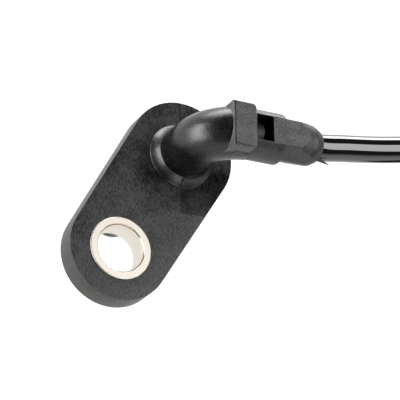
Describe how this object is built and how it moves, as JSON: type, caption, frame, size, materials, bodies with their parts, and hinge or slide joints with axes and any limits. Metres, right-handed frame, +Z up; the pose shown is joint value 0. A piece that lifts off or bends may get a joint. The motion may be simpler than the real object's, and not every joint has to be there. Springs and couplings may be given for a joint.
{
  "type": "wheel speed sensor",
  "caption": "Car wheel speed sensor: black flanged housing with a round nose and a steel bolt bushing, its cable leaving sideways from an elbow to a coiled lead with a plug.",
  "frame": {"origin": "centre of the sensing face at the tip of the nose", "axes": "+Z up the nose towards the flange and the cable side, +X the way the cable leaves the elbow"},
  "size_m": [0.1547, 0.0587, 0.0475],
  "materials": {
    "glass_filled_nylon": "fine matt moulded black",
    "nickel_plated_steel": "bright turned nickel plate",
    "seal_rubber": "matt",
    "insert_resin": "matt",
    "chip_epoxy": "matt",
    "magnet_alloy": "ground",
    "capacitor_ceramic": "matt",
    "tinned_copper": "satin",
    "blue_core": "satin",
    "brown_core": "satin",
    "cable_jacket": "glossy black",
    "tie_nylon": "satin",
    "plug_resin": "fine matt moulded black",
    "plug_seal_rubber": "matt silicone"
  },
  "bodies": {
    "root": {"housing": "glass_filled_nylon", "mounting_bushing": "nickel_plated_steel", "nose_seal": "seal_rubber", "sensing_insert": "insert_resin", "sensor_chip": "chip_epoxy", "bias_magnet": "magnet_alloy", "filter_capacitor": "capacitor_ceramic", "chip_lead_a": "tinned_copper", "chip_lead_b": "tinned_copper", "splice_a": "tinned_copper", "splice_b": "tinned_copper", "core_a": "blue_core", "core_b": "brown_core", "core_sleeve": "seal_rubber", "cable_lead": "cable_jacket", "cable_coil": "cable_jacket", "cable_tail": "cable_jacket", "coil_tie": "tie_nylon", "plug_cap": "plug_resin", "plug_housing": "plug_resin", "plug_face_seal": "plug_seal_rubber", "plug_core_a": "blue_core", "plug_core_b": "brown_core", "wire_seal_a": "plug_seal_rubber", "wire_seal_b": "plug_seal_rubber", "terminal_a": "tinned_copper", "terminal_b": "tinned_copper"}
  },
  "joints": []
}
